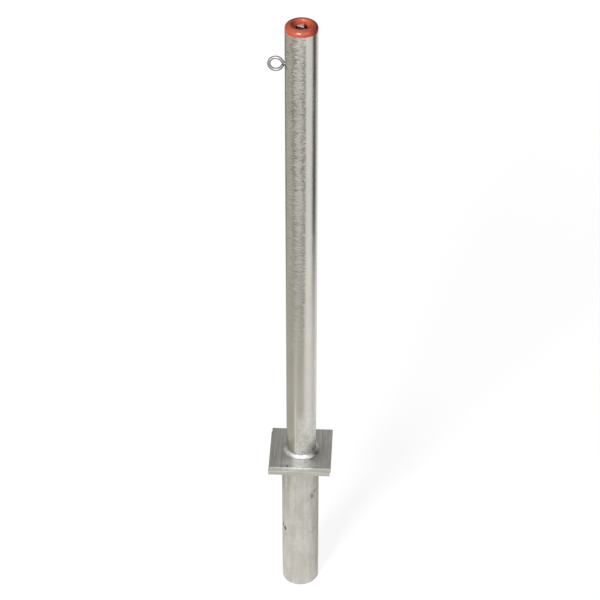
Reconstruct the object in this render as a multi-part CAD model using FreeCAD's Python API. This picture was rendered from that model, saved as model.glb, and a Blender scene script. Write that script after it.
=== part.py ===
import FreeCAD, Part
import math
import os

# Removable bollard: a tubular post with a triangular key lock, standing in its ground sleeve.
# Sizes are in millimetres. The origin is on the sleeve's axis at ground level and +Z is up.

# Post
crown_height = 1000.0          # top of the cap above the ground
post_diameter = 60.3
post_wall = 2.9
post_insert = 200.0            # length of the tube below the ground
post_end_bevel = 1.2
post_offset = 2.0              # the post stands off centre by part of its play in the sleeve

# Ground sleeve
sleeve_play = 5.0              # radial room between the post and the sleeve
sleeve_wall = 2.9
sleeve_depth = 330.0           # length of the sleeve below the ground

# Square plates, both cut from the same flat bar
plate_side = 125.0
plate_thickness = 10.0
plate_edge_bevel = 0.6
post_hole_room = 0.2           # radial room of the post in its plate's hole
sleeve_hole_room = 1.0         # radial room of the sleeve in the ground plate's hole

# Welds
post_weld_leg = 7.6
post_weld_crown = 0.5          # how far the bead swells past a flat fillet
sleeve_weld_bevel = 4.0        # bevel of the ground plate's hole, filled by the bead
sleeve_weld_sink = 0.3         # the bead is ground off this far below the plate's face

# Cap
cap_height = 12.0              # from the tube's end to the crown
cap_side_height = 2.5          # upright part of the cap's rim
cap_crest_radius = 22.5        # where the rounded shoulder reaches the crown
cap_rim_radius = 19.0          # upper edge of the funnel
cap_rim_drop = 0.5             # the funnel's edge lies this far below the crown
cap_rim_round = 1.5
funnel_depth = 7.0
funnel_sag = 1.2               # how far the funnel's wall bows below a straight cone
cap_wall = 3.0
spigot_length = 10.0
spigot_room = 0.5              # radial room of the spigot in the tube
spigot_rib_count = 2
spigot_rib_height = 1.6
spigot_rib_room = 0.1

# Key spindle
key_side = 16.0                # side of the triangular key head
key_corner_round = 1.2
key_top_bevel = 0.8
key_below_crown = 3.0
key_head_length = 17.0
key_wall_room = 3.0            # room for the wall of the key around the head
collar_ledge = 5.0             # how far the collar stands out past the journal
collar_thickness = 5.0
journal_room = 0.1             # running clearance of the journal in the guide disc
groove_depth = 0.5
groove_below_washer = 0.1
clip_thickness = 1.2
clip_width = 2.4
clip_gap_angle = 50.0
clip_lug_radius = 2.0
clip_eye_radius = 0.9
neck_below_groove = 4.0        # solid length between the clip's groove and the rod socket
socket_depth = 24.0
socket_wall = 1.9
socket_pin_height = 10.0       # height of the cross pin above the socket's mouth
washer_thickness = 1.5
washer_width = 5.0

# Lock rod
rod_diameter = 12.0
rod_room = 0.1
rod_end_room = 0.5             # free length above the rod in its socket
socket_pin_diameter = 4.0
pin_bore_share = 0.55          # inner over outer diameter of the rolled pins
pin_slit = 0.8

# Guide discs
disc_thickness = 6.0
disc_room = 0.1                # radial room of a disc in the tube
drain_radius = 4.0
drain_place = 18.0             # distance of the drain holes from the post's axis

# Turn stop
lock_turn = 90.0               # quarter turn between open and locked, in degrees
stop_pin_diameter = 4.0
stop_pin_sink = 3.0            # length of the stop pin in the guide disc
stop_pin_short = 0.5           # the pin ends this far below the collar's top
stop_room = 0.3
stop_angle = 90.0              # place of the stop pin around the post's axis, in degrees

# Hammer head and the two keepers in the sleeve
keeper_below_post = 20.0
keeper_thickness = 8.0
keeper_side_room = 4.0         # room on each side of the head when it passes the keepers
head_under_keeper = 1.5
head_height = 14.0
head_width = 16.0
head_swing_room = 4.0          # room between the head's corners and the sleeve as it turns
head_corner_round = 4.0
head_foot_bevel = 1.4
head_pin_diameter = 5.0

# Eye bolt
eye_below_crown = 81.0
wire_diameter = 6.0
eye_loop_radius = 12.3         # to the middle of the wire
eye_half_spread = 56.0         # angle of each strand to the shank, in degrees
eye_bend_radius = 4.5
eye_bend_sink = 1.35           # the bend ends this far inside the tube's outer surface
eye_tail_gap = 0.2             # between the wire's free end and the tube
eye_hole_room = 0.5
eye_thread_length = 3.0        # length of the shank past the nut
eye_washer_width = 3.0
eye_washer_thickness = 1.6
eye_seat_room = 0.05
nut_width = 10.0               # across the flats
nut_thickness = 5.0
nut_bevel = 0.8

# Heights and radii that follow from the sizes above
ORIGIN = FreeCAD.Vector(0, 0, 0)
UP = FreeCAD.Vector(0, 0, 1)
post_radius = post_diameter / 2
post_bore = post_radius - post_wall
post_foot = -post_insert
cap_seat = crown_height - cap_height
sleeve_bore = post_radius + sleeve_play
sleeve_radius = sleeve_bore + sleeve_wall
sleeve_foot = -sleeve_depth
base_plate_low = plate_thickness
base_plate_top = base_plate_low + plate_thickness
rod_radius = rod_diameter / 2
socket_radius = rod_radius + rod_room
journal_radius = socket_radius + socket_wall
collar_radius = journal_radius + collar_ledge
key_corner_radius = key_side / math.sqrt(3) - key_corner_round
throat_radius = key_corner_radius + key_wall_room
key_top = crown_height - key_below_crown
collar_top = key_top - key_head_length
disc_top = collar_top - collar_thickness
disc_low = disc_top - disc_thickness
washer_low = disc_low - washer_thickness
clip_top = washer_low - groove_below_washer
clip_low = clip_top - clip_thickness
socket_top = clip_low - neck_below_groove
socket_low = socket_top - socket_depth
keeper_top = post_foot - keeper_below_post
keeper_low = keeper_top - keeper_thickness
head_top = keeper_low - head_under_keeper
head_low = head_top - head_height
eye_height = crown_height - eye_below_crown


# Shared ways to make a form

def cylinder(radius, low, high):
    return Part.makeCylinder(radius, high - low, FreeCAD.Vector(0, 0, low))


def ring(outer_radius, inner_radius, low, high):
    return cylinder(outer_radius, low, high).cut(cylinder(inner_radius, low, high))


def cross_bar(radius, length, height, direction):
    start = direction * (-length / 2) + UP * height
    return Part.makeCylinder(radius, length, start, direction)


def in_section(radius, height):
    return FreeCAD.Vector(radius, 0, height)


def lathe(edges):
    face = Part.Face(Part.Wire(Part.__sortEdges__(edges)))
    return face.revolve(ORIGIN, UP, 360)


def straight_lines(points):
    return [Part.makeLine(a, b) for a, b in zip(points, points[1:])]


def bowed_line(start, end, bow):
    """Arc from start to end whose middle stands off the straight line by bow, to its left."""
    along = end.sub(start)
    left = FreeCAD.Vector(-along.z, 0, along.x).normalize()
    middle = start.add(along * 0.5).add(left * bow)
    return Part.Arc(start, middle, end).toShape()


def on_post_axis(shape):
    return shape.translated(FreeCAD.Vector(post_offset, 0, 0))


def rolled_pin(diameter, length, height, direction):
    """Spring pin rolled from sheet, with a slit along its top."""
    radius = diameter / 2
    pin = cross_bar(radius, length, height, direction)
    pin = pin.cut(cross_bar(radius * pin_bore_share, length, height, direction))
    side = direction.cross(UP)
    slit = Part.makeBox(pin_slit, length, radius)
    slit.rotate(ORIGIN, UP, math.degrees(math.atan2(-side.y, -side.x)))
    slit.translate(direction * (-length / 2) + side * (pin_slit / 2) + UP * height)
    return pin.cut(slit)


def square_plate(low, hole_radius):
    half = plate_side / 2
    plate = Part.makeBox(plate_side, plate_side, plate_thickness, FreeCAD.Vector(-half, -half, low))
    plate = plate.makeChamfer(plate_edge_bevel, plate.Edges)
    return plate.cut(cylinder(hole_radius, low, low + plate_thickness))


# Ground sleeve: tube, plate, weld bead and the two keepers

def sleeve_tube():
    return ring(sleeve_radius, sleeve_bore, sleeve_foot, plate_thickness - sleeve_weld_bevel)


def sleeve_plate():
    hole_radius = sleeve_radius + sleeve_hole_room
    plate = square_plate(0, hole_radius)
    bevel = Part.makeCone(hole_radius, hole_radius + sleeve_weld_bevel, sleeve_weld_bevel,
                          FreeCAD.Vector(0, 0, plate_thickness - sleeve_weld_bevel))
    return plate.cut(bevel)


def sleeve_weld():
    low = plate_thickness - sleeve_weld_bevel
    high = plate_thickness - sleeve_weld_sink
    foot_radius = sleeve_radius + sleeve_hole_room
    section = [in_section(sleeve_bore, low), in_section(foot_radius, low),
               in_section(foot_radius + high - low, high), in_section(sleeve_bore, high),
               in_section(sleeve_bore, low)]
    return lathe(straight_lines(section))


def keeper(side):
    """Lug welded inside the sleeve, a disc's segment cut straight beside the head's way through."""
    gap_edge = head_width / 2 + post_offset + keeper_side_room
    segment = cylinder(sleeve_bore, keeper_low, keeper_top)
    gap_side = sleeve_bore + gap_edge
    low_x = -sleeve_bore if side > 0 else -gap_edge
    gap = Part.makeBox(gap_side, 2 * sleeve_bore, keeper_thickness,
                       FreeCAD.Vector(low_x, -sleeve_bore, keeper_low))
    return segment.cut(gap)


# Post: tube, plate and weld bead

def post_tube():
    tube = cylinder(post_radius, post_foot, cap_seat)
    foot_edge = [edge for edge in tube.Edges if abs(edge.CenterOfMass.z - post_foot) < 1e-6
                 and len(edge.Vertexes) == 1 and edge.Length > post_radius]
    tube = tube.makeChamfer(post_end_bevel, foot_edge)
    tube = tube.cut(cylinder(post_bore, post_foot, cap_seat))
    eye_hole = Part.makeCylinder(wire_diameter / 2 + eye_hole_room, post_radius,
                                 FreeCAD.Vector(0, 0, eye_height), FreeCAD.Vector(-1, 0, 0))
    return tube.cut(eye_hole)


def post_plate():
    return square_plate(base_plate_low, post_radius + post_hole_room)


def post_weld():
    toe = in_section(post_radius + post_weld_leg, base_plate_top)
    top = in_section(post_radius, base_plate_top + post_weld_leg)
    root = in_section(post_radius, base_plate_top)
    edges = [bowed_line(toe, top, -post_weld_crown)] + straight_lines([top, root, toe])
    return lathe(edges)


# Cap: rounded shoulder, funnel down to the key head, spigot with ribs in the tube

def cap():
    spigot_radius = post_bore - spigot_room
    spigot_bore = spigot_radius - cap_wall
    spigot_low = cap_seat - spigot_length
    shoulder_low = in_section(post_radius, cap_seat + cap_side_height)
    crest = in_section(cap_crest_radius, crown_height)
    rim = in_section(cap_rim_radius, crown_height - cap_rim_drop)
    throat_top = in_section(throat_radius, crown_height - funnel_depth)
    throat_low = throat_top.sub(UP * cap_wall)
    ceiling_height = crown_height - cap_wall - cap_rim_drop
    shoulder_run = post_radius - cap_crest_radius
    shoulder_rise = crown_height - shoulder_low.z
    shoulder = Part.Arc(shoulder_low,
                        in_section(post_radius - shoulder_run * (1 - math.cos(math.radians(45))),
                                   shoulder_low.z + shoulder_rise * math.sin(math.radians(45))),
                        crest).toShape()
    crest_line = bowed_line(crest, rim, -0.3 * cap_rim_drop)
    funnel = bowed_line(rim, throat_top, funnel_sag)
    inside = straight_lines([throat_top, throat_low,
                             in_section(throat_radius + cap_wall, throat_low.z),
                             in_section(cap_rim_radius, ceiling_height),
                             in_section(cap_crest_radius, ceiling_height),
                             in_section(spigot_bore, cap_seat + cap_side_height),
                             in_section(spigot_bore, spigot_low),
                             in_section(spigot_radius, spigot_low),
                             in_section(spigot_radius, cap_seat),
                             in_section(post_radius, cap_seat),
                             shoulder_low])
    body = lathe([shoulder, crest_line, funnel] + inside)
    rim_edge = [edge for edge in body.Edges if abs(edge.BoundBox.ZMin - rim.z) < 1e-6
                and abs(edge.BoundBox.ZMax - rim.z) < 1e-6]
    body = body.makeFillet(cap_rim_round, rim_edge)
    rib_pitch = spigot_length / (spigot_rib_count + 1)
    for index in range(spigot_rib_count):
        rib_top = cap_seat - rib_pitch * (index + 0.5)
        rib_radius = post_bore - spigot_rib_room
        rib = lathe(straight_lines([in_section(spigot_bore + cap_wall / 2, rib_top),
                                    in_section(rib_radius, rib_top),
                                    in_section(spigot_radius - spigot_rib_room,
                                               rib_top - spigot_rib_height),
                                    in_section(spigot_bore + cap_wall / 2,
                                               rib_top - spigot_rib_height),
                                    in_section(spigot_bore + cap_wall / 2, rib_top)]))
        body = body.fuse(rib)
    return body.removeSplitter()


# Guide discs that hold the spindle at the top and the rod at the foot

def stop_pin_place():
    reach = (journal_radius + collar_radius) / 2
    angle = math.radians(stop_angle)
    return FreeCAD.Vector(reach * math.cos(angle), reach * math.sin(angle), 0)


def top_guide_disc():
    disc = ring(post_bore - disc_room, journal_radius + journal_room, disc_low, disc_top)
    hole = cylinder(stop_pin_diameter / 2, disc_top - stop_pin_sink, disc_top)
    return disc.cut(hole.translated(stop_pin_place()))


def bottom_guide_disc():
    disc = ring(post_bore - disc_room, rod_radius + rod_room, post_foot, post_foot + disc_thickness)
    for side in (-1, 1):
        drain = cylinder(drain_radius, post_foot, post_foot + disc_thickness)
        disc = disc.cut(drain.translated(FreeCAD.Vector(side * drain_place, 0, 0)))
    return disc


def turn_stop_pin():
    pin = cylinder(stop_pin_diameter / 2, disc_top - stop_pin_sink, collar_top - stop_pin_short)
    return pin.translated(stop_pin_place())


# Eye bolt: bent from round wire, with its washer and nut inside the tube

def eye_points():
    """The shank's bend and the loop, as points in the section plane through the post's axis."""
    spread = math.radians(eye_half_spread)
    bend_run = eye_bend_radius * math.tan(spread / 2)
    vertex_x = -(post_radius - eye_bend_sink + bend_run)
    centre_x = vertex_x - eye_loop_radius / math.sin(spread)
    return spread, bend_run, vertex_x, centre_x


def eye_seat():
    """Place of the washer's outer face, where its rim meets the round wall."""
    washer_radius = wire_diameter / 2 + eye_washer_width
    return -math.sqrt(post_bore ** 2 - washer_radius ** 2) + eye_seat_room


def eye_bolt():
    spread, bend_run, vertex_x, centre_x = eye_points()
    radius = eye_loop_radius
    shank_end = eye_seat() + eye_washer_thickness + nut_thickness + eye_thread_length
    vertex = in_section(vertex_x, eye_height)
    up_strand = FreeCAD.Vector(-math.cos(spread), 0, math.sin(spread))
    down_strand = FreeCAD.Vector(-math.cos(spread), 0, -math.sin(spread))
    bend_centre = in_section(vertex_x + bend_run, eye_height + eye_bend_radius)
    bend_middle = bend_centre.sub(FreeCAD.Vector(math.sin(spread / 2), 0, math.cos(spread / 2))
                                  * eye_bend_radius)
    strand = radius / math.tan(spread)
    tail = (vertex_x + post_radius + eye_tail_gap) + wire_diameter / 2 * math.sin(spread)
    tail = max(tail, 0) / math.cos(spread)
    shank_start = in_section(shank_end, eye_height)
    bend_end = in_section(vertex_x + bend_run, eye_height)
    bend_start = vertex.add(up_strand * bend_run)
    loop_start = vertex.add(up_strand * strand)
    loop_end = vertex.add(down_strand * strand)
    wire_end = vertex.add(down_strand * tail)
    path = Part.Wire([
        Part.makeLine(shank_start, bend_end),
        Part.Arc(bend_end, bend_middle, bend_start).toShape(),
        Part.makeLine(bend_start, loop_start),
        Part.Arc(loop_start, in_section(centre_x - radius, eye_height), loop_end).toShape(),
        Part.makeLine(loop_end, wire_end)])
    section = Part.Wire(Part.makeCircle(wire_diameter / 2, shank_start, FreeCAD.Vector(-1, 0, 0)))
    return path.makePipeShell([section], True, False)


def eye_washer():
    washer = ring(wire_diameter / 2 + eye_washer_width, wire_diameter / 2 + eye_seat_room,
                  0, eye_washer_thickness)
    return along_eye(washer, eye_seat())


def eye_nut():
    corner = nut_width / math.sqrt(3)
    turn = [math.radians(60 * index) for index in range(7)]
    outline = [FreeCAD.Vector(corner * math.cos(a), corner * math.sin(a), 0) for a in turn]
    nut = Part.Face(Part.Wire(straight_lines(outline))).extrude(UP * nut_thickness)
    rounding = Part.makeCone(corner, nut_width / 2, nut_bevel,
                             FreeCAD.Vector(0, 0, nut_thickness - nut_bevel))
    body = cylinder(corner, 0, nut_thickness - nut_bevel).fuse(rounding)
    nut = nut.common(body).cut(cylinder(wire_diameter / 2 + eye_seat_room, 0, nut_thickness))
    return along_eye(nut, eye_seat() + eye_washer_thickness)


def along_eye(shape, place):
    """Turn a piece that was made on +Z to lie on the eye bolt's shank, its foot at place."""
    shape.rotate(ORIGIN, FreeCAD.Vector(0, 1, 0), 90)
    return shape.translated(in_section(place, eye_height))


# Lock: key spindle with its washer, clip and cross pin, rod and hammer head

def key_head():
    corner = key_side / math.sqrt(3)
    turn = [math.radians(180 + 120 * index) for index in range(4)]
    outline = [FreeCAD.Vector(corner * math.cos(a), corner * math.sin(a), collar_top) for a in turn]
    head = Part.Face(Part.Wire(straight_lines(outline))).extrude(UP * key_head_length)
    upright = [edge for edge in head.Edges if abs(edge.Length - key_head_length) < 1e-6]
    head = head.makeFillet(key_corner_round, upright)
    top_edges = [edge for edge in head.Edges if edge.BoundBox.ZMin > key_top - 1e-6]
    return head.makeChamfer(key_top_bevel, top_edges)


def stop_notch():
    """Cut in the collar's edge that lets the stop pin pass through the quarter turn."""
    reach = (journal_radius + collar_radius) / 2
    pin_room = stop_pin_diameter / 2 + stop_room
    half_width = math.degrees(math.asin(pin_room / reach))
    sweep = lock_turn + 2 * half_width
    notch = Part.makeCylinder(2 * collar_radius, collar_thickness,
                              FreeCAD.Vector(0, 0, disc_top), UP, sweep)
    notch = notch.cut(cylinder(reach - pin_room, disc_top, collar_top))
    return notch.rotated(ORIGIN, UP, stop_angle - half_width)


def key_spindle():
    spindle = cylinder(journal_radius, socket_low, disc_top)
    spindle = spindle.fuse(cylinder(collar_radius, disc_top, collar_top).cut(stop_notch()))
    spindle = spindle.fuse(key_head())
    groove = ring(collar_radius, journal_radius - groove_depth, clip_low, clip_top)
    pin_hole = cross_bar(socket_pin_diameter / 2, 2 * collar_radius,
                         socket_low + socket_pin_height, FreeCAD.Vector(0, 1, 0))
    socket = cylinder(socket_radius, socket_low, socket_top)
    return spindle.cut(groove).cut(socket).cut(pin_hole).removeSplitter()


def thrust_washer():
    inner_radius = journal_radius + journal_room
    return ring(inner_radius + washer_width, inner_radius, washer_low, disc_low)


def spindle_clip():
    """Open spring ring in the spindle's groove, with an eye for the pliers at each end."""
    inner_radius = journal_radius - groove_depth
    outer_radius = inner_radius + clip_width
    clip = ring(outer_radius, inner_radius, clip_low, clip_top)
    gap = Part.makeCylinder(2 * outer_radius, clip_thickness, FreeCAD.Vector(0, 0, clip_low),
                            UP, clip_gap_angle)
    clip = clip.cut(gap.rotated(ORIGIN, UP, -clip_gap_angle / 2))
    lug_reach = outer_radius
    for side in (-1, 1):
        lug_angle = math.radians(side * (clip_gap_angle / 2 + math.degrees(
            math.asin(clip_lug_radius / lug_reach))))
        place = FreeCAD.Vector(lug_reach * math.cos(lug_angle), lug_reach * math.sin(lug_angle), 0)
        lug = cylinder(clip_lug_radius, clip_low, clip_top).translated(place)
        lug = lug.cut(cylinder(inner_radius, clip_low, clip_top))
        clip = clip.fuse(lug)
        clip = clip.cut(cylinder(clip_eye_radius, clip_low, clip_top).translated(place))
    return clip.removeSplitter()


def spindle_pin():
    return rolled_pin(socket_pin_diameter, 2 * journal_radius, socket_low + socket_pin_height,
                      FreeCAD.Vector(0, 1, 0))


def lock_rod():
    rod = cylinder(rod_radius, head_low, socket_top - rod_end_room)
    rod = rod.cut(cross_bar(socket_pin_diameter / 2, rod_diameter, socket_low + socket_pin_height,
                            FreeCAD.Vector(0, 1, 0)))
    return rod.cut(cross_bar(head_pin_diameter / 2, rod_diameter, head_low + head_height / 2,
                             FreeCAD.Vector(1, 0, 0)))


def hammer_head():
    """Bar across the rod's foot, as long as the sleeve lets its corners swing."""
    swing_radius = sleeve_bore - post_offset - head_swing_room
    length = 2 * math.sqrt(swing_radius ** 2 - (head_width / 2) ** 2)
    head = Part.makeBox(head_width, length, head_height,
                        FreeCAD.Vector(-head_width / 2, -length / 2, head_low))
    upright = [edge for edge in head.Edges if abs(edge.Length - head_height) < 1e-6]
    head = head.makeFillet(head_corner_round, upright)
    foot = [edge for edge in head.Edges if edge.BoundBox.ZMax < head_low + 1e-6]
    head = head.makeChamfer(head_foot_bevel, foot)
    head = head.cut(cylinder(rod_radius + rod_room, head_low, head_top))
    return head.cut(cross_bar(head_pin_diameter / 2, head_width, head_low + head_height / 2,
                              FreeCAD.Vector(1, 0, 0)))


def head_pin():
    return rolled_pin(head_pin_diameter, head_width, head_low + head_height / 2,
                      FreeCAD.Vector(1, 0, 0))


# Every piece is written to a file of its own
sleeve_pieces = {
    "sleeve_tube": sleeve_tube(),
    "sleeve_plate": sleeve_plate(),
    "sleeve_weld": sleeve_weld(),
    "keeper_left": keeper(-1),
    "keeper_right": keeper(1),
}
post_pieces = {
    "post_tube": post_tube(),
    "post_plate": post_plate(),
    "post_weld": post_weld(),
    "cap": cap(),
    "top_guide_disc": top_guide_disc(),
    "bottom_guide_disc": bottom_guide_disc(),
    "turn_stop_pin": turn_stop_pin(),
    "eye_bolt": eye_bolt(),
    "eye_washer": eye_washer(),
    "eye_nut": eye_nut(),
}
lock_pieces = {
    "key_spindle": key_spindle(),
    "thrust_washer": thrust_washer(),
    "spindle_clip": spindle_clip(),
    "spindle_pin": spindle_pin(),
    "lock_rod": lock_rod(),
    "hammer_head": hammer_head(),
    "head_pin": head_pin(),
}
pieces = dict(sleeve_pieces)
for name, shape in {**post_pieces, **lock_pieces}.items():
    pieces[name] = on_post_axis(shape)

os.makedirs("parts", exist_ok=True)
for name, shape in pieces.items():
    shape.exportStep("parts/" + name + ".step")
    print(name, len(shape.Solids), shape.isValid(), round(shape.Volume, 1))
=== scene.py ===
import bpy
import math
import random
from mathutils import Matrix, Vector


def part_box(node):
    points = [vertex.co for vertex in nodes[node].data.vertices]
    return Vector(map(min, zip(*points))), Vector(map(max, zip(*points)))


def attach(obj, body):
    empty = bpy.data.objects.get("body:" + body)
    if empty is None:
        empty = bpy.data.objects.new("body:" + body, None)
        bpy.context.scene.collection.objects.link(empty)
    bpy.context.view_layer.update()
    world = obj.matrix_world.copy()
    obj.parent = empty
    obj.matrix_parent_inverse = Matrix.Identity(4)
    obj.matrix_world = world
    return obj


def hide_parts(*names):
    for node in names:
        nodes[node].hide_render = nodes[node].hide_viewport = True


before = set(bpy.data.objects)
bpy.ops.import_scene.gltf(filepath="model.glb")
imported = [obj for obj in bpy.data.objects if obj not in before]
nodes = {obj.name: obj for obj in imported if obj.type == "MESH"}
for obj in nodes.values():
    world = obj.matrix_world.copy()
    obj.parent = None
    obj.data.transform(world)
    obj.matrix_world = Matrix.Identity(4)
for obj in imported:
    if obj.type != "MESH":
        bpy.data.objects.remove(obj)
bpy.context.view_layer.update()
bpy.ops.object.select_all(action="DESELECT")

# Ground sleeve: a steel tube set in the foundation, with two keepers welded inside, dip galvanised
# and left as it came out of the zinc. Its skin is matt and warm grey, mottled and run, with bare dark
# spots on the left, and brown stains and a scraped ring on the right.
sleeve_low, sleeve_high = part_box("sleeve_tube")
sleeve_radius = (sleeve_high.x - sleeve_low.x) / 2


def finish(name, roughness, metallic, **fixed):
    """New surface finish; fixed holds more of the shader's own values. Gives material, shader."""
    material = bpy.data.materials.new(name)
    material.use_nodes = True
    shader = material.node_tree.nodes["Principled BSDF"]
    shader.inputs["Metallic"].default_value = metallic
    shader.inputs["Roughness"].default_value = roughness
    for socket, value in fixed.items():
        shader.inputs[socket].default_value = value
    return material, shader


def wire(material, source, target):
    material.node_tree.links.new(source, target)


def place_on_piece(material, stretch=(1, 1, 1), turn=(0, 0, 0), shift=(0, 0, 0)):
    """Coordinates fixed to the piece, in metres, stretched and turned for a pattern."""
    tree = material.node_tree
    place = tree.nodes.new("ShaderNodeTexCoord")
    mapping = tree.nodes.new("ShaderNodeMapping")
    mapping.inputs["Location"].default_value = shift
    mapping.inputs["Rotation"].default_value = turn
    mapping.inputs["Scale"].default_value = stretch
    wire(material, place.outputs["Object"], mapping.inputs["Vector"])
    return mapping.outputs["Vector"]


def cloud(material, scale, detail=4.0, stretch=(1, 1, 1), turn=(0, 0, 0), shift=(0, 0, 0),
          distortion=0.0):
    """Noise whose features are about 1/scale metres long before the stretch."""
    noise = material.node_tree.nodes.new("ShaderNodeTexNoise")
    noise.inputs["Scale"].default_value = scale
    noise.inputs["Detail"].default_value = detail
    noise.inputs["Distortion"].default_value = distortion
    wire(material, place_on_piece(material, stretch, turn, shift), noise.inputs["Vector"])
    return noise.outputs["Fac"]


def levels(material, source, low, high, out_low=0.0, out_high=1.0):
    """Stretch the range low..high of a pattern over out_low..out_high."""
    step = material.node_tree.nodes.new("ShaderNodeMapRange")
    step.interpolation_type = "SMOOTHSTEP"
    for socket, value in (("From Min", low), ("From Max", high),
                          ("To Min", out_low), ("To Max", out_high)):
        step.inputs[socket].default_value = value
    wire(material, source, step.inputs["Value"])
    return step.outputs["Result"]


def combine(material, first, second, operation="MULTIPLY"):
    """Two masks, or a mask and a number, put together; as it stands, one fades the other."""
    step = material.node_tree.nodes.new("ShaderNodeMath")
    step.operation = operation
    for socket, value in zip(step.inputs, (first, second)):
        if isinstance(value, (int, float)):
            socket.default_value = value
        else:
            wire(material, value, socket)
    return step.outputs["Value"]


def tint(material, share, under, over):
    """Colour between under and over; either may be a colour or another step's output."""
    step = material.node_tree.nodes.new("ShaderNodeMix")
    step.data_type = "RGBA"
    sockets = [s for s in step.inputs if s.type == "RGBA"]
    for socket, value in zip(sockets, (under, over)):
        if isinstance(value, tuple):
            socket.default_value = value + (1.0,)
        else:
            wire(material, value, socket)
    wire(material, share, step.inputs["Factor"])
    return [s for s in step.outputs if s.type == "RGBA"][0]


def marked(material, skin, mask, share, colour):
    """The skin with a mark over it, which is as strong as share where the mask is full."""
    return tint(material, combine(material, mask, share), skin, colour)


def band(material, source, start, full, fade, end):
    """Mask that rises from start to full and falls again from fade to end."""
    return combine(material, levels(material, source, start, full),
                   levels(material, source, fade, end, 1.0, 0.0))


def axes(material, vector):
    """The outputs X, Y and Z of a place or a direction."""
    split = material.node_tree.nodes.new("ShaderNodeSeparateXYZ")
    wire(material, vector, split.inputs["Vector"])
    return split.outputs


def length(material, vector):
    step = material.node_tree.nodes.new("ShaderNodeVectorMath")
    step.operation = "LENGTH"
    wire(material, vector, step.inputs[0])
    return step.outputs["Value"]


def relief(material, shader, height, strength, depth):
    bump = material.node_tree.nodes.new("ShaderNodeBump")
    bump.inputs["Strength"].default_value = strength
    bump.inputs["Distance"].default_value = depth
    wire(material, height, bump.inputs["Height"])
    wire(material, bump.outputs["Normal"], shader.inputs["Normal"])


def spot(material, centre, size, ragged=0.35, soft_from=0.75):
    """Mask of a small mark on the surface: 1 inside, falling to 0 at a ragged edge."""
    stretch = tuple(1 / s for s in size)
    shift = tuple(-c / s for c, s in zip(centre, size))
    distance = length(material, place_on_piece(material, stretch, shift=shift))
    wobble = cloud(material, 400.0, 2.0)
    edge = combine(material, distance, levels(material, wobble, 0.3, 0.7, -ragged, ragged), "ADD")
    return levels(material, edge, soft_from, 1.1, 1.0, 0.0)


def on_sleeve(angle, height):
    """Point on the sleeve's skin; the angle is counted from its front, to the right."""
    turn = math.radians(angle)
    return sleeve_radius * math.sin(turn), -sleeve_radius * math.cos(turn), height


def dress(names, material):
    for name in names:
        slots = nodes[name].data.materials
        slots.clear()
        slots.append(material)


matt_zinc, shader = finish("matt zinc of the sleeve", 0.55, 0.8)
sleeve_place = axes(matt_zinc, place_on_piece(matt_zinc))
mottle = cloud(matt_zinc, 38.0, 5.0, stretch=(1.0, 1.0, 0.55), distortion=0.6)
runs = cloud(matt_zinc, 60.0, 3.0, stretch=(1.6, 1.6, 0.18))
grain = cloud(matt_zinc, 240.0, 4.0, distortion=0.5)
patches = combine(matt_zinc, levels(matt_zinc, mottle, 0.35, 0.68),
                  levels(matt_zinc, runs, 0.3, 0.7, 0.0, 0.7), "ADD")
skin = tint(matt_zinc, levels(matt_zinc, patches, 0.2, 1.4), (0.545, 0.525, 0.49),
            (0.695, 0.675, 0.65))
skin = tint(matt_zinc, levels(matt_zinc, grain, 0.45, 0.75, 0.0, 0.35), skin, (0.46, 0.445, 0.41))
rust = spot(matt_zinc, on_sleeve(82, -0.16), (0.012, 0.016, 0.22), 0.9)
skin = marked(matt_zinc, skin, rust, 0.4, (0.38, 0.31, 0.21))
for angle, height, size, shade in ((43, -0.0845, (0.0065, 0.0065, 0.0075), 0.85),
                                   (56, -0.075, (0.007, 0.007, 0.0055), 0.6),
                                   (-62, -0.040, (0.008, 0.008, 0.040), 0.35),
                                   (-38, -0.050, (0.005, 0.005, 0.034), 0.25)):
    stain = spot(matt_zinc, on_sleeve(angle, height), size, 0.55, 0.2)
    skin = marked(matt_zinc, skin, stain, shade, (0.24, 0.205, 0.145))
scrape_centre = on_sleeve(30, -0.150)
scrape = combine(matt_zinc, spot(matt_zinc, scrape_centre, (0.030, 0.030, 0.034), 0.1, 1.0),
                 spot(matt_zinc, scrape_centre, (0.028, 0.028, 0.032), 0.1, 1.0), "SUBTRACT")
lower_right = combine(matt_zinc, levels(matt_zinc, sleeve_place["Z"], -0.16, -0.145, 1.0, 0.0),
                      levels(matt_zinc, sleeve_place["X"], 0.018, 0.024))
scrape = combine(matt_zinc, scrape, lower_right)
skin = marked(matt_zinc, skin, scrape, 0.6, (0.25, 0.235, 0.20))
for angle, height, size, shade in ((-67, -0.1765, (0.003, 0.003, 0.0062), 1.0),
                                   (-54, -0.1815, (0.0046, 0.0046, 0.0048), 1.0),
                                   (-48, -0.197, (0.003, 0.003, 0.004), 0.25)):
    bare = spot(matt_zinc, on_sleeve(angle, height), size)
    skin = marked(matt_zinc, skin, bare, shade, (0.045, 0.043, 0.045))
wire(matt_zinc, skin, shader.inputs["Base Color"])
wire(matt_zinc, levels(matt_zinc, mottle, 0.3, 0.7, 0.48, 0.66), shader.inputs["Roughness"])
bumps = combine(matt_zinc, mottle, combine(matt_zinc, grain, 0.4), "ADD")
relief(matt_zinc, shader, bumps, 0.4, 0.0008)
dress(["sleeve_tube", "keeper_left", "keeper_right"], matt_zinc)

# Square plates: the sleeve's plate lies on the ground, and the post's plate rests on it. Both are
# cut from hot-rolled flat bar, welded on and galvanised; the bar's rolling lines run from front to
# back on the faces and along the cut edges. The seam between them is painted dark on the right as
# shade in its gap, and the top carries a painted reflection and painted shade beside the weld.
plate_low, plate_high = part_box("post_plate")

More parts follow.
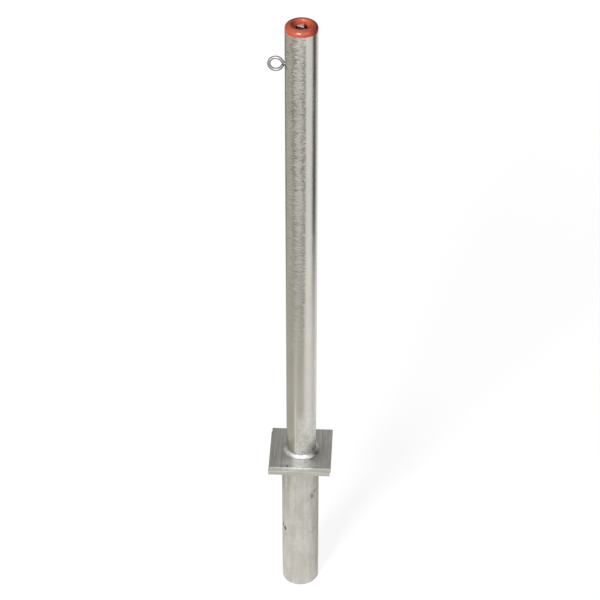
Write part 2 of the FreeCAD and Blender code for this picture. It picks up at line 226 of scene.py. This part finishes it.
plate_zinc, shader = finish("zinc of the plates", 0.4, 1.0)
tree = plate_zinc.node_tree
plate_place = axes(plate_zinc, place_on_piece(plate_zinc))
facing = axes(plate_zinc, tree.nodes.new("ShaderNodeNewGeometry").outputs["Normal"])
upward = levels(plate_zinc, facing["Z"], 0.5, 0.8)
face_lines = cloud(plate_zinc, 20.0, 4.0, stretch=(22.0, 0.7, 1.0))
edge_lines = cloud(plate_zinc, 20.0, 4.0, stretch=(1.2, 1.2, 60.0))
mix = tree.nodes.new("ShaderNodeMix")
wire(plate_zinc, upward, mix.inputs["Factor"])
wire(plate_zinc, edge_lines, mix.inputs["A"])
wire(plate_zinc, face_lines, mix.inputs["B"])
lines = mix.outputs["Result"]
patches = cloud(plate_zinc, 30.0, 4.0, distortion=0.4)
skin = tint(plate_zinc, levels(plate_zinc, lines, 0.3, 0.7), (0.47, 0.465, 0.435),
            (0.64, 0.635, 0.60))
skin = marked(plate_zinc, skin, levels(plate_zinc, patches, 0.5, 0.75), 0.35, (0.40, 0.39, 0.35))
# Painted reflection: a bright speckled patch on the plate's top in front of the weld, where the plate
# mirrors the weld and the foot of the post.
reflection_place = (-0.002, plate_low.y + 0.012, plate_high.z)
painted_reflection = spot(plate_zinc, reflection_place, (0.046, 0.024, 0.01), 0.2, 0.40)
speckle = levels(plate_zinc, cloud(plate_zinc, 170.0, 4.0, distortion=0.7), 0.35, 0.6, 0.55, 1.0)
painted_reflection = combine(plate_zinc, painted_reflection, speckle)
skin = marked(plate_zinc, skin, painted_reflection, 0.85, (0.88, 0.90, 0.91))
# Painted shade on the plate to the right of the weld; the same spot darkens the post's foot and the
# bead's right end further down.
shade_place = (plate_high.x - 0.029, -0.009, plate_high.z + 0.008)
shade_size = (0.018, 0.026, 0.03)
painted_shade = spot(plate_zinc, shade_place, shade_size, 0.8, 0.1)
skin = marked(plate_zinc, skin, painted_shade, 0.5, (0.24, 0.24, 0.23))
# Painted shade: a dark line along the seam between the plates on the right, standing for the shade in
# their gap.
seam = band(plate_zinc, plate_place["Z"], plate_low.z - 0.0004, plate_low.z + 0.0004,
            plate_low.z + 0.0010, plate_low.z + 0.0018)
right_end = levels(plate_zinc, plate_place["X"], 0.028, 0.045)
skin = marked(plate_zinc, skin, combine(plate_zinc, seam, right_end), 0.75, (0.13, 0.125, 0.11))
nick = spot(plate_zinc, (-0.024, plate_low.y + 0.005, plate_high.z), (0.0016, 0.0045, 0.003))
skin = tint(plate_zinc, nick, skin, (0.10, 0.11, 0.11))
wire(plate_zinc, skin, shader.inputs["Base Color"])
wire(plate_zinc, levels(plate_zinc, patches, 0.3, 0.7, 0.30, 0.46), shader.inputs["Roughness"])
relief(plate_zinc, shader, lines, 0.25, 0.0004)
dress(["post_plate", "sleeve_plate"], plate_zinc)

# Post tube: galvanised steel, ground over its upper two thirds. The grinding left short lines
# round the tube, each leaning a little to one side, so that what the zinc mirrors is torn into a
# jagged edge. The lower third is smoother, and the foot is matt and stained, with painted shade
# beside the weld on its left and right, a painted highlight in a light streak, and patchy
# darkening just above the weld.
post_low, post_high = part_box("post_tube")
post_x = (post_low.x + post_high.x) / 2
post_radius = (post_high.x - post_low.x) / 2


def lean(material, shader, pattern_stretch, amount, share, normal=None):
    """Turn the surface to and fro along its lines; amount is the lean across and along z."""
    tree = material.node_tree
    noise = tree.nodes.new("ShaderNodeTexNoise")
    noise.inputs["Scale"].default_value = 1.0
    noise.inputs["Detail"].default_value = 3.0
    wire(material, place_on_piece(material, pattern_stretch), noise.inputs["Vector"])
    steps = []
    for operation in ("SUBTRACT", "MULTIPLY", "SCALE", "ADD", "NORMALIZE"):
        step = tree.nodes.new("ShaderNodeVectorMath")
        step.operation = operation
        steps.append(step)
    middle, size, fade, total, unit = steps
    wire(material, noise.outputs["Color"], middle.inputs[0])
    middle.inputs[1].default_value = (0.5, 0.5, 0.5)
    wire(material, middle.outputs["Vector"], size.inputs[0])
    size.inputs[1].default_value = (amount[0], amount[0], amount[1])
    wire(material, size.outputs["Vector"], fade.inputs[0])
    wire(material, share, fade.inputs["Scale"])
    wire(material, fade.outputs["Vector"], total.inputs[0])
    if normal is None:
        normal = tree.nodes.new("ShaderNodeNewGeometry").outputs["Normal"]
    wire(material, normal, total.inputs[1])
    wire(material, total.outputs["Vector"], unit.inputs[0])
    wire(material, unit.outputs["Vector"], shader.inputs["Normal"])
    return unit.outputs["Vector"]


ground_zinc, shader = finish("ground zinc of the post", 0.26, 1.0)
post_place = axes(ground_zinc, place_on_piece(ground_zinc))
ground_part = levels(ground_zinc, post_place["Z"], 0.24, 0.50, 0.12, 1.0)
left_side = levels(ground_zinc, post_place["X"], post_x - post_radius, post_x - 0.55 * post_radius,
                   0.35, 1.0)
right_side = levels(ground_zinc, post_place["X"], post_x + 0.16 * post_radius,
                    post_x + 0.34 * post_radius, 1.0, 0.10)
rear_side = levels(ground_zinc, post_place["Y"], 0.1 * post_radius, 0.8 * post_radius, 1.0, 0.4)
rough_share = combine(ground_zinc, combine(ground_zinc, ground_part, rear_side),
                      combine(ground_zinc, left_side, right_side))
long_lines = cloud(ground_zinc, 14.0, 5.0, stretch=(1.0, 1.0, 38.0))
short_lines = cloud(ground_zinc, 1.0, 3.0, stretch=(75.0, 75.0, 380.0), turn=(0.1, 0.14, 0.0),
                    distortion=0.3)
scratches = combine(ground_zinc, levels(ground_zinc, long_lines, 0.45, 0.75, 0.0, 0.35),
                    levels(ground_zinc, short_lines, 0.42, 0.66), "ADD")
scratches = combine(ground_zinc, scratches, rough_share)
pits = cloud(ground_zinc, 330.0, 2.0, stretch=(0.8, 0.8, 1.2))
pits = combine(ground_zinc, levels(ground_zinc, pits, 0.56, 0.68),
               levels(ground_zinc, post_place["Z"], 0.72, 0.97))
pits = combine(ground_zinc, pits, rough_share)
clouds = cloud(ground_zinc, 26.0, 5.0, stretch=(1.0, 1.0, 0.4), distortion=0.5)
skin = tint(ground_zinc, levels(ground_zinc, clouds, 0.3, 0.7), (0.60, 0.58, 0.545),
            (0.665, 0.645, 0.612))
skin = marked(ground_zinc, skin, scratches, 0.6, (0.42, 0.41, 0.385))
skin = marked(ground_zinc, skin, pits, 0.8, (0.22, 0.215, 0.20))
foot_edge = combine(ground_zinc, post_place["Z"], combine(ground_zinc, clouds, 0.12), "ADD")
foot_matt = combine(ground_zinc, levels(ground_zinc, foot_edge, 0.16, 0.20, 1.0, 0.0),
                    levels(ground_zinc, post_place["X"], post_x - 0.32 * post_radius,
                           post_x - 0.28 * post_radius))
matt_patches = cloud(ground_zinc, 120.0, 4.0, distortion=0.6)
matt_skin = tint(ground_zinc, levels(ground_zinc, matt_patches, 0.38, 0.62), (0.64, 0.625, 0.595),
                 (0.78, 0.765, 0.74))
skin = marked(ground_zinc, skin, foot_matt, 0.85, matt_skin)
# Painted highlight: a light vertical streak low on the post, a little left of its front.
painted_streak = band(ground_zinc, post_place["X"], post_x - 0.40 * post_radius, post_x - 0.35 * post_radius,
             post_x - 0.35 * post_radius, post_x - 0.30 * post_radius)
painted_streak = combine(ground_zinc, painted_streak, levels(ground_zinc, post_place["Z"], 0.13, 0.18, 1.0, 0.0))
skin = marked(ground_zinc, skin, painted_streak, 0.8, (0.85, 0.83, 0.80))
stain_place = (post_x + 0.0115, post_low.y + 0.002, 0.075)
stain = spot(ground_zinc, stain_place, (0.006, 0.006, 0.008), 0.6)
skin = marked(ground_zinc, skin, stain, 0.3, (0.35, 0.29, 0.20))
# Darker in patches in a band just above the weld.
foot_band_patches = cloud(ground_zinc, 130.0, 4.0, distortion=0.8)
foot_band = combine(ground_zinc, levels(ground_zinc, post_place["Z"], 0.030, 0.046, 1.0, 0.0),
               levels(ground_zinc, foot_band_patches, 0.42, 0.62))
skin = marked(ground_zinc, skin, foot_band, 0.55, (0.40, 0.41, 0.41))
# Painted shade on the right of the post's foot, beside the weld.
painted_shade = spot(ground_zinc, shade_place, shade_size, 0.8, 0.1)
skin = marked(ground_zinc, skin, painted_shade, 0.65, (0.24, 0.24, 0.23))
# Painted shade on the front left of the post's foot, just above the weld.
left_shade_place = (post_x - 0.022, -0.020, 0.034)
painted_shade = spot(ground_zinc, left_shade_place, (0.012, 0.010, 0.012), 0.9, 0.1)
skin = marked(ground_zinc, skin, painted_shade, 0.3, (0.30, 0.31, 0.31))
wire(ground_zinc, skin, shader.inputs["Base Color"])
roughness = combine(ground_zinc, levels(ground_zinc, clouds, 0.3, 0.75, 0.20, 0.30),
                    combine(ground_zinc, foot_matt, 0.22), "ADD")
wire(ground_zinc, roughness, shader.inputs["Roughness"])
dashes = lean(ground_zinc, shader, (80.0, 80.0, 330.0), (1.0, 0.15), rough_share)
lean(ground_zinc, shader, (35.0, 35.0, 560.0), (0.5, 0.1), rough_share, dashes)
dress(["post_tube"], ground_zinc)

# Weld bead round the foot of the post: laid by hand in short pulses, then dipped in zinc with the
# rest, which left it smooth and bright. It joins the tube to its plate.
bright_weld, shader = finish("zinc over the weld", 0.3, 1.0)
ripple = cloud(bright_weld, 160.0, 3.0)
skin = tint(bright_weld, levels(bright_weld, ripple, 0.3, 0.7), (0.68, 0.69, 0.69),
            (0.80, 0.81, 0.82))
# Painted shade over the right end of the bead.
painted_shade = spot(bright_weld, shade_place, (0.016, 0.034, 0.03), 0.5, 0.4)
skin = marked(bright_weld, skin, painted_shade, 0.75, (0.20, 0.20, 0.19))
wire(bright_weld, skin, shader.inputs["Base Color"])
wire(bright_weld, levels(bright_weld, ripple, 0.3, 0.7, 0.26, 0.38), shader.inputs["Roughness"])
relief(bright_weld, shader, ripple, 0.25, 0.0005)
dress(["post_weld", "sleeve_weld"], bright_weld)

weld_low, weld_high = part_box("post_weld")
weld_radius = (weld_high.x - weld_low.x) / 2
weld_leg = weld_high.z - weld_low.z
weld_middle = weld_low.z + weld_leg / 2
pulse_pitch = 0.0029
pulse_height = 0.0008
pulse_overlap = 0.75
pulse_count = round(2 * math.pi * weld_radius / pulse_pitch)
slope_radius = (weld_radius + post_radius) / 2
core_foot = weld_radius - 0.0002
core_top = post_radius - 0.0006
hand = random.Random(7)
bpy.ops.mesh.primitive_cone_add(vertices=240, radius1=core_foot, radius2=core_top, depth=weld_leg,
                                location=(post_x, 0, weld_middle))
pulses = [bpy.context.object]
for index in range(pulse_count):
    angle = 2 * math.pi * index / pulse_count
    bpy.ops.mesh.primitive_uv_sphere_add(segments=16, ring_count=10, radius=1.0)
    pulse = bpy.context.object
    pulse.scale = (pulse_height, pulse_pitch * pulse_overlap, weld_leg * hand.uniform(0.62, 0.70))
    slope = math.radians(-45 + hand.uniform(-4, 4))
    pulse.rotation_euler = (0, slope, angle + hand.uniform(-0.012, 0.012))
    pulse.location = (post_x + slope_radius * math.cos(angle), slope_radius * math.sin(angle),
                      weld_middle)
    pulses.append(pulse)
for pulse in pulses:
    pulse.select_set(True)
bpy.context.view_layer.objects.active = pulses[0]
bpy.ops.object.join()
bead = bpy.context.object
bead.name = "weld_bead"
bpy.ops.object.transform_apply(location=True, rotation=True, scale=True)
remesh = bead.modifiers.new("fuse", "REMESH")
remesh.mode = "VOXEL"
remesh.voxel_size = 0.0006
remesh.use_smooth_shade = True
bpy.ops.object.modifier_apply(modifier=remesh.name)
soften = bead.modifiers.new("soften", "SMOOTH")
soften.factor = 0.6
soften.iterations = 8
bpy.ops.object.modifier_apply(modifier=soften.name)
bpy.ops.object.mode_set(mode="EDIT")
bpy.ops.mesh.select_all(action="SELECT")
bpy.ops.mesh.bisect(plane_co=(0, 0, weld_low.z), plane_no=(0, 0, 1), clear_inner=True, use_fill=True)
bpy.ops.object.mode_set(mode="OBJECT")
bead.data.materials.clear()
bead.data.materials.append(bright_weld)
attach(bead, "post")
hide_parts("post_weld")
bpy.ops.object.select_all(action="DESELECT")

# Spatter: drops of weld metal that stuck to the plate and the tube beside the bead, most of them
# on its right, under the same zinc. Every third drop is on the tube and the others on the plate.
drop_count = 34
drops_on_right = 24
drop_spread = 0.006
drops = []
for index in range(drop_count):
    side = math.radians(hand.gauss(-18, 48) if index < drops_on_right else hand.uniform(0, 360))
    size = hand.uniform(0.0004, 0.0011)
    if index % 3:
        out = weld_radius + abs(hand.gauss(0.0, drop_spread)) + 0.0005
        height = weld_low.z
    else:
        out = post_radius
        height = weld_high.z + abs(hand.gauss(0.0, drop_spread)) + 0.0008
    place = (post_x + out * math.cos(side), out * math.sin(side), height)
    bpy.ops.mesh.primitive_ico_sphere_add(subdivisions=3, radius=size, location=place)
    drop = bpy.context.object
    drop.scale = (1.0, hand.uniform(0.75, 1.0), 0.7)
    drop.rotation_euler = (0, 0, side)
    drops.append(drop)
for drop in drops:
    drop.select_set(True)
bpy.context.view_layer.objects.active = drops[0]
bpy.ops.object.join()
spatter = bpy.context.object
spatter.name = "weld_spatter"
bpy.ops.object.transform_apply(location=True, rotation=True, scale=True)
bpy.ops.object.shade_smooth()
spatter.data.materials.clear()
spatter.data.materials.append(bright_weld)
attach(spatter, "post")
bpy.ops.object.select_all(action="DESELECT")

# Cap: a moulding of glossy orange-red plastic, pressed into the tube by its ribbed spigot. Its
# funnel is duller than its rim, so that only the rim mirrors the window.
funnel_edge = 0.0205
cap_red, shader = finish("orange-red plastic of the cap", 0.14, 0.0)
flow = cloud(cap_red, 60.0, 3.0)
skin = tint(cap_red, levels(cap_red, flow, 0.3, 0.7), (0.50, 0.072, 0.030),
            (0.58, 0.092, 0.042))
wire(cap_red, skin, shader.inputs["Base Color"])
from_axis = length(cap_red, place_on_piece(cap_red, stretch=(1, 1, 0), shift=(-post_x, 0, 0)))
roughness = levels(cap_red, from_axis, funnel_edge - 0.0035, funnel_edge, 0.38, 0.14)
wire(cap_red, roughness, shader.inputs["Roughness"])
relief(cap_red, shader, cloud(cap_red, 500.0, 2.0), 0.02, 0.0002)
dress(["cap"], cap_red)

# Eye bolt: bent from round wire after it was zinc plated, so that the plating is dull and a little
# scored along the wire. A washer and a nut hold it from inside the tube.
wire_zinc, shader = finish("dull plating of the eye", 0.30, 1.0,
                           **{"Specular Tint": (0.3, 0.3, 0.3, 1)})
score = cloud(wire_zinc, 500.0, 3.0, distortion=1.0)
haze = cloud(wire_zinc, 150.0, 3.0)
skin = tint(wire_zinc, levels(wire_zinc, haze, 0.3, 0.7), (0.25, 0.245, 0.25),
            (0.36, 0.355, 0.365))
skin = tint(wire_zinc, levels(wire_zinc, score, 0.55, 0.75, 0.0, 0.5), skin, (0.22, 0.21, 0.20))
wire(wire_zinc, skin, shader.inputs["Base Color"])
wire(wire_zinc, levels(wire_zinc, haze, 0.3, 0.7, 0.38, 0.52), shader.inputs["Roughness"])
relief(wire_zinc, shader, score, 0.2, 0.0002)
dress(["eye_bolt", "eye_washer", "eye_nut"], wire_zinc)

# Lock: the key spindle, rod and hammer head are turned and milled steel with a bright zinc plating.
# The discs that carry them and the washer are dull zinc, and the clip and the rolled pins are dark
# spring steel.
bright_zinc, shader = finish("bright zinc of the lock", 0.27, 1.0)
haze = cloud(bright_zinc, 220.0, 3.0)
skin = tint(bright_zinc, levels(bright_zinc, haze, 0.3, 0.7), (0.63, 0.63, 0.64),
            (0.71, 0.71, 0.72))
wire(bright_zinc, skin, shader.inputs["Base Color"])
wire(bright_zinc, levels(bright_zinc, haze, 0.3, 0.7, 0.2, 0.36), shader.inputs["Roughness"])
relief(bright_zinc, shader, haze, 0.08, 0.0002)
dress(["key_spindle", "lock_rod", "hammer_head"], bright_zinc)

dull_zinc, shader = finish("dull zinc of the discs", 0.5, 1.0)
haze = cloud(dull_zinc, 90.0, 4.0, distortion=0.5)
skin = tint(dull_zinc, levels(dull_zinc, haze, 0.3, 0.7), (0.24, 0.235, 0.225),
            (0.36, 0.355, 0.34))
wire(dull_zinc, skin, shader.inputs["Base Color"])
wire(dull_zinc, levels(dull_zinc, haze, 0.3, 0.7, 0.42, 0.58), shader.inputs["Roughness"])
relief(dull_zinc, shader, haze, 0.2, 0.0003)
dress(["top_guide_disc", "bottom_guide_disc", "thrust_washer", "turn_stop_pin"], dull_zinc)

dark_spring, shader = finish("dark spring steel", 0.42, 1.0)
haze = cloud(dark_spring, 300.0, 3.0)
skin = tint(dark_spring, levels(dark_spring, haze, 0.3, 0.7), (0.09, 0.09, 0.095),
            (0.16, 0.16, 0.165))
wire(dark_spring, skin, shader.inputs["Base Color"])
relief(dark_spring, shader, haze, 0.2, 0.0003)
dress(["spindle_clip", "spindle_pin", "head_pin"], dark_spring)

# Floor: white paper under the sleeve's foot. To the camera it is white, with the object's shadow.
# In the metal it is white near the foot, and further out it takes the room's light and dark sides.
floor_height = sleeve_low.z - 0.0002
paper_size = 40.0
# Brightness by the angle round the post, counted from the camera's side to the right
foot_room = [(-88, 1.25), (-45, 1.2), (-20, 1.22), (36, 1.22), (66, 1.05), (100, 0.85), (140, 0.8),
             (220, 0.9), (268, 1.1)]
low_room = [(-88, 0.55), (-66, 0.57), (-54, 0.65), (-43, 0.8), (-36, 0.85), (-28, 0.65), (6, 0.65),
            (16, 0.72), (27, 0.88), (38, 1.0), (66, 1.0), (84, 0.9), (96, 0.8), (112, 0.8), (140, 1.0),
            (168, 0.6), (212, 0.45), (236, 0.55), (268, 0.55)]
middle_room = [(-88, 0.55), (-40, 0.57), (-28, 0.65), (-16, 0.65), (-4, 0.55), (8, 0.48), (18, 0.52),
               (28, 0.82), (38, 1.05), (62, 1.05), (82, 0.92), (93, 0.7), (108, 0.65), (122, 0.8),
               (142, 1.0), (168, 0.6), (210, 0.4), (230, 0.55), (268, 0.55)]
high_room = [(-88, 0.6), (-76, 0.65), (-62, 0.5), (-54, 0.25), (-47, 0.45), (-38, 0.68), (-24, 0.8),
             (-10, 0.78), (10, 0.65), (21, 0.3), (28, 0.4), (36, 0.95), (46, 1.0), (72, 0.98),
             (84, 0.6), (93, 0.1), (109, 0.1), (120, 0.4), (136, 0.9), (160, 1.0), (172, 0.6),
             (202, 0.45), (213, 0.16), (226, 0.3), (234, 0.55), (268, 0.57)]
top_room = [(-88, 0.8), (-66, 0.9), (-46, 1.8), (38, 1.8), (54, 0.9), (64, 0.7), (74, 0.3), (120, 0.12),
            (150, 0.3), (168, 0.43), (192, 0.43), (216, 0.6), (268, 0.8)]


def room_colour(material, room, front_warmth=0.03):
    """Colour of the room seen in the metal, brown on the left and white on the right."""
    tree = material.node_tree
    around = tree.nodes.new("ShaderNodeTexGradient")
    around.gradient_type = "RADIAL"
    wire(material, place_on_piece(material), around.inputs["Vector"])
    bands = tree.nodes.new("ShaderNodeValToRGB")
    bands.color_ramp.interpolation = "EASE"
    elements = bands.color_ramp.elements
    while len(elements) < len(room):
        elements.new(0.5)
    for element, (angle, shine) in zip(elements, room):
        element.position = 0.25 + angle / 360
        if angle < -50 or angle > 200:
            warmth = 0.13
        elif -40 < angle < 20:
            warmth = front_warmth
        else:
            warmth = 0.03
        element.color = (shine, shine * (1 - 0.15 * warmth), shine * (1 - warmth), 1)
    wire(material, around.outputs["Fac"], bands.inputs["Fac"])
    return bands.outputs["Color"]


bpy.ops.mesh.primitive_plane_add(size=paper_size, location=(0, 0, 0))
floor = bpy.context.object
floor.name = "floor"
bpy.ops.transform.translate(value=(0, 0, floor_height))
bpy.ops.object.transform_apply(location=True, rotation=True, scale=True)
paper = bpy.data.materials.new("white paper")
paper.use_nodes = True
tree = paper.node_tree
tree.nodes.clear()
output = tree.nodes.new("ShaderNodeOutputMaterial")
added = tree.nodes.new("ShaderNodeAddShader")
matt = tree.nodes.new("ShaderNodeBsdfDiffuse")
matt.inputs["Color"].default_value = (0.30, 0.30, 0.30, 1)
glow = tree.nodes.new("ShaderNodeEmission")
mirrored = tree.nodes.new("ShaderNodeEmission")
choice = tree.nodes.new("ShaderNodeMixShader")
path = tree.nodes.new("ShaderNodeLightPath")
distance = length(paper, place_on_piece(paper, stretch=(1, 1, 0)))
far = levels(paper, distance, 0.36, 0.46)
wire(paper, tint(paper, far, room_colour(paper, foot_room), room_colour(paper, low_room, 0.10)),
     mirrored.inputs["Color"])
seen = combine(paper, path.outputs["Is Camera Ray"], path.outputs["Is Transmission Ray"], "MAXIMUM")
wire(paper, combine(paper, seen, levels(paper, distance, 0.8, 4.0, 0.86, 1.0)),
     glow.inputs["Strength"])
wire(paper, matt.outputs["BSDF"], added.inputs[0])
wire(paper, glow.outputs["Emission"], added.inputs[1])
wire(paper, path.outputs["Is Glossy Ray"], choice.inputs["Fac"])
wire(paper, added.outputs["Shader"], choice.inputs[1])
wire(paper, mirrored.outputs["Emission"], choice.inputs[2])
wire(paper, choice.outputs["Shader"], output.inputs["Surface"])
floor.data.materials.append(paper)


def glow_only(piece, name, strength=1.0):
    """Make a card or tent that only reflections see. Gives its material and its colour's socket."""
    piece.name = name
    bpy.ops.object.transform_apply(location=True, rotation=True, scale=True)
    piece.visible_camera = False
    piece.visible_diffuse = False
    piece.visible_transmission = False
    piece.visible_shadow = False
    material = bpy.data.materials.new(name)
    material.use_nodes = True
    material.node_tree.nodes.clear()
    output = material.node_tree.nodes.new("ShaderNodeOutputMaterial")
    glow = material.node_tree.nodes.new("ShaderNodeEmission")
    glow.inputs["Strength"].default_value = strength
    wire(material, glow.outputs["Emission"], output.inputs["Surface"])
    piece.data.materials.append(material)
    return material, glow.inputs["Color"]


# Tent: the studio's walls as the metal mirrors them, light in front with a dark gap on the right.
# Low down they pass into the room's colours on the floor. High up they are brightest in front, for
# the weld, and grey behind, for the plates' tops, with a dark band that the cap's rear rim mirrors.
tent_radius = 0.85
tent_height = 2.0
bpy.ops.mesh.primitive_cylinder_add(vertices=96, radius=tent_radius, depth=tent_height - floor_height,
                                    end_fill_type="NOTHING",
                                    location=(0, 0, (tent_height + floor_height) / 2))
cloth, cloth_colour = glow_only(bpy.context.object, "tent")
tent_place = axes(cloth, place_on_piece(cloth))
walls = tint(cloth, levels(cloth, tent_place["Z"], -0.19, 0.03), room_colour(cloth, middle_room, 0.10),
             room_colour(cloth, high_room))
walls = tint(cloth, levels(cloth, tent_place["Z"], 0.61, 0.68), walls, room_colour(cloth, top_room))
front_top = combine(cloth, levels(cloth, tent_place["Z"], 0.95, 1.1),
                    levels(cloth, tent_place["Y"], -0.60, -0.35, 1.0, 0.0))
walls = tint(cloth, front_top, walls, (1.9, 1.9, 1.85))
dark_band = combine(cloth, band(cloth, tent_place["Z"], 0.85, 1.0, 1.22, 1.36),
                    levels(cloth, tent_place["Y"], 0.0, 0.4))
wire(cloth, tint(cloth, dark_band, walls, (0.05, 0.05, 0.05)), cloth_colour)

# Window: a bright narrow card that stands close to the cap, in front on the left. The cap's glossy
# rim mirrors it as a white patch.
window_angle = math.radians(-14)
window_distance = 0.36
window_width = 0.144
window_height = 0.32
window_middle = 1.167
window_centre = (window_distance * math.sin(window_angle), -window_distance * math.cos(window_angle),
                 window_middle)
bpy.ops.mesh.primitive_plane_add(size=1.0, rotation=(math.pi / 2, 0, window_angle),
                                 location=window_centre)
bpy.context.object.scale = (window_width, window_height, 1)
glow_only(bpy.context.object, "window", 16.0)

# Lamps: a large soft one from the upper left in front, and a weaker one from the right. The metal
# doesn't mirror them.
lamp_aim = Vector((0, 0, 0.5))
for name, place, size, power in (("key lamp", (-1.2, -2.5, 1.9), 0.9, 95.0),
                                 ("fill lamp", (2.2, -1.4, 1.8), 1.4, 3.0)):
    bpy.ops.object.light_add(type="AREA", location=place)
    lamp = bpy.context.object
    lamp.name = name
    lamp.data.size = size
    lamp.data.energy = power
    lamp.visible_glossy = False
    lamp.rotation_euler = (lamp_aim - Vector(place)).to_track_quat("-Z", "Y").to_euler()

# World: the air round the studio. It is white to the camera and in the metal, and gives only a
# soft light on the object.
world = bpy.data.worlds.new("studio")
bpy.context.scene.world = world
world.use_nodes = True
tree = world.node_tree
air = tree.nodes["Background"]
air.inputs["Color"].default_value = (1, 1, 1, 1)
path = tree.nodes.new("ShaderNodeLightPath")
seen = combine(world, path.outputs["Is Camera Ray"], path.outputs["Is Glossy Ray"], "MAXIMUM")
seen = combine(world, seen, path.outputs["Is Transmission Ray"], "MAXIMUM")
wire(world, levels(world, seen, 0.0, 1.0, 0.2, 1.0), air.inputs["Strength"])

# Camera: in front, a little to the right, and looking down on the plates, with a long lens and no
# shift.
camera_azimuth = math.radians(2.746)
camera_elevation = math.radians(36.327)
camera_distance = 3.8751
camera_aim = Vector((-0.0007, 0.0, 0.3966))
camera_side = Vector((math.sin(camera_azimuth) * math.cos(camera_elevation),
                      -math.cos(camera_azimuth) * math.cos(camera_elevation),
                      math.sin(camera_elevation)))
bpy.ops.object.camera_add(location=camera_aim + camera_side * camera_distance)
camera = bpy.context.object
camera.rotation_euler = (-camera_side).to_track_quat("-Z", "Y").to_euler()
camera.data.sensor_width = 36.0
camera.data.lens = 120.0
camera.data.clip_end = 100.0
bpy.context.scene.camera = camera
bpy.context.scene.view_settings.view_transform = "Standard"
